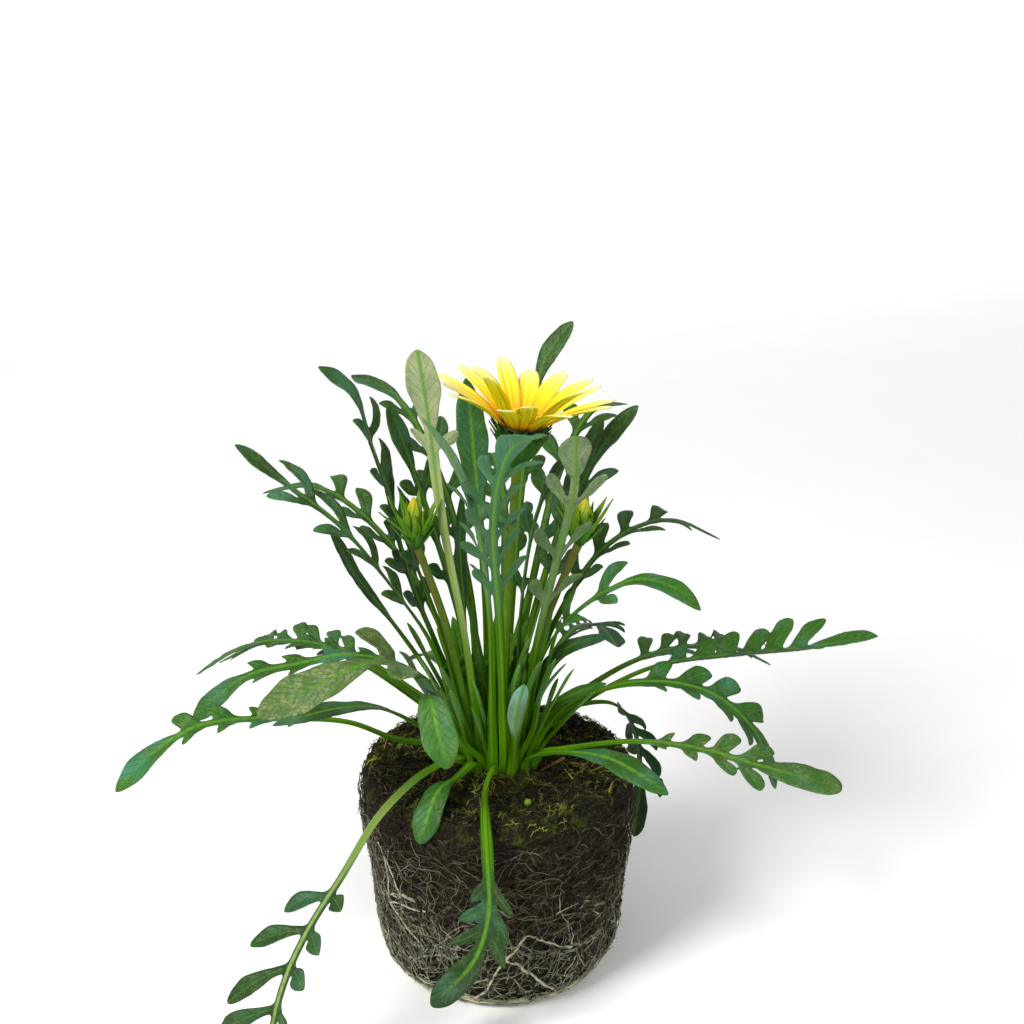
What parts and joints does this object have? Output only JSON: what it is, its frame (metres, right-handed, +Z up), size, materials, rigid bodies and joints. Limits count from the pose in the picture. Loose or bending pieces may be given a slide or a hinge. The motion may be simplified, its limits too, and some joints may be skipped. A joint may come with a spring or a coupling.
{
  "type": "gazania plant with its root ball",
  "caption": "Gazania bedding plant lifted out of its pot: rooted peat plug, moss, tufted felty cut leaves, a yellow flower and buds.",
  "frame": {"origin": "the middle of the root ball's flat underside", "axes": "+Z up, -Y towards the plant's front, where one leaf hangs down over the ball, +X to the right seen from the front"},
  "size_m": [0.2632, 0.2152, 0.2345],
  "materials": {
    "root_soil": "matte",
    "moss": "matte",
    "young_stem": "satin",
    "leaf": "satin",
    "leaf_felt": "matte",
    "stalk": "satin",
    "petal": "satin",
    "disc": "matte",
    "bud_petal": "satin"
  },
  "bodies": {
    "root": {"root_ball": "root_soil", "moss_mat": "moss", "crown": "young_stem", "flower_stalk": "stalk", "ray_florets": "petal", "disc_florets": "disc", "bud_left": "stalk", "bud_left_petals": "bud_petal", "bud_right": "stalk", "bud_right_petals": "bud_petal", "leaf_front_hanging": "leaf", "leaf_front_left_trailing": "leaf", "leaf_left_low": "leaf", "leaf_left_broad": "leaf", "leaf_left_strip": "leaf", "leaf_left_strap": "leaf", "leaf_front_folded": "leaf", "leaf_front_short": "leaf", "leaf_front_upright_blade": "leaf", "leaf_right_long": "leaf", "leaf_right_second": "leaf", "leaf_right_lobed": "leaf", "leaf_right_strap": "leaf", "leaf_right_short": "leaf", "leaf_right_arch": "leaf", "leaf_right_entire": "leaf", "leaf_front_right_small": "leaf", "leaf_right_upright": "leaf", "leaf_right_round": "leaf", "leaf_tall": "leaf_felt", "leaf_left_upper": "leaf", "leaf_left_feathered": "leaf", "leaf_front_curled": "leaf", "leaf_front_hooded": "leaf", "leaf_behind_flower": "leaf", "leaf_middle_slim": "leaf", "leaf_middle_dark": "leaf", "leaf_left_dark": "leaf", "leaf_left_lance": "leaf", "leaf_back_right_hanging": "leaf", "leaf_back_right_long": "leaf", "leaf_back_low": "leaf", "leaf_back_hanging": "leaf", "leaf_back_left_long": "leaf", "leaf_back_left_low": "leaf", "leaf_back_right_arch": "leaf", "leaf_back_tall_arch": "leaf", "leaf_back_arch": "leaf", "leaf_back_left_tall_arch": "leaf", "leaf_back_left_arch": "leaf", "leaf_back_upright": "leaf", "leaf_back_left_upright": "leaf", "leaf_back_right_upright": "leaf", "leaf_back_right_short": "leaf", "leaf_back_left_short": "leaf"}
  },
  "joints": []
}
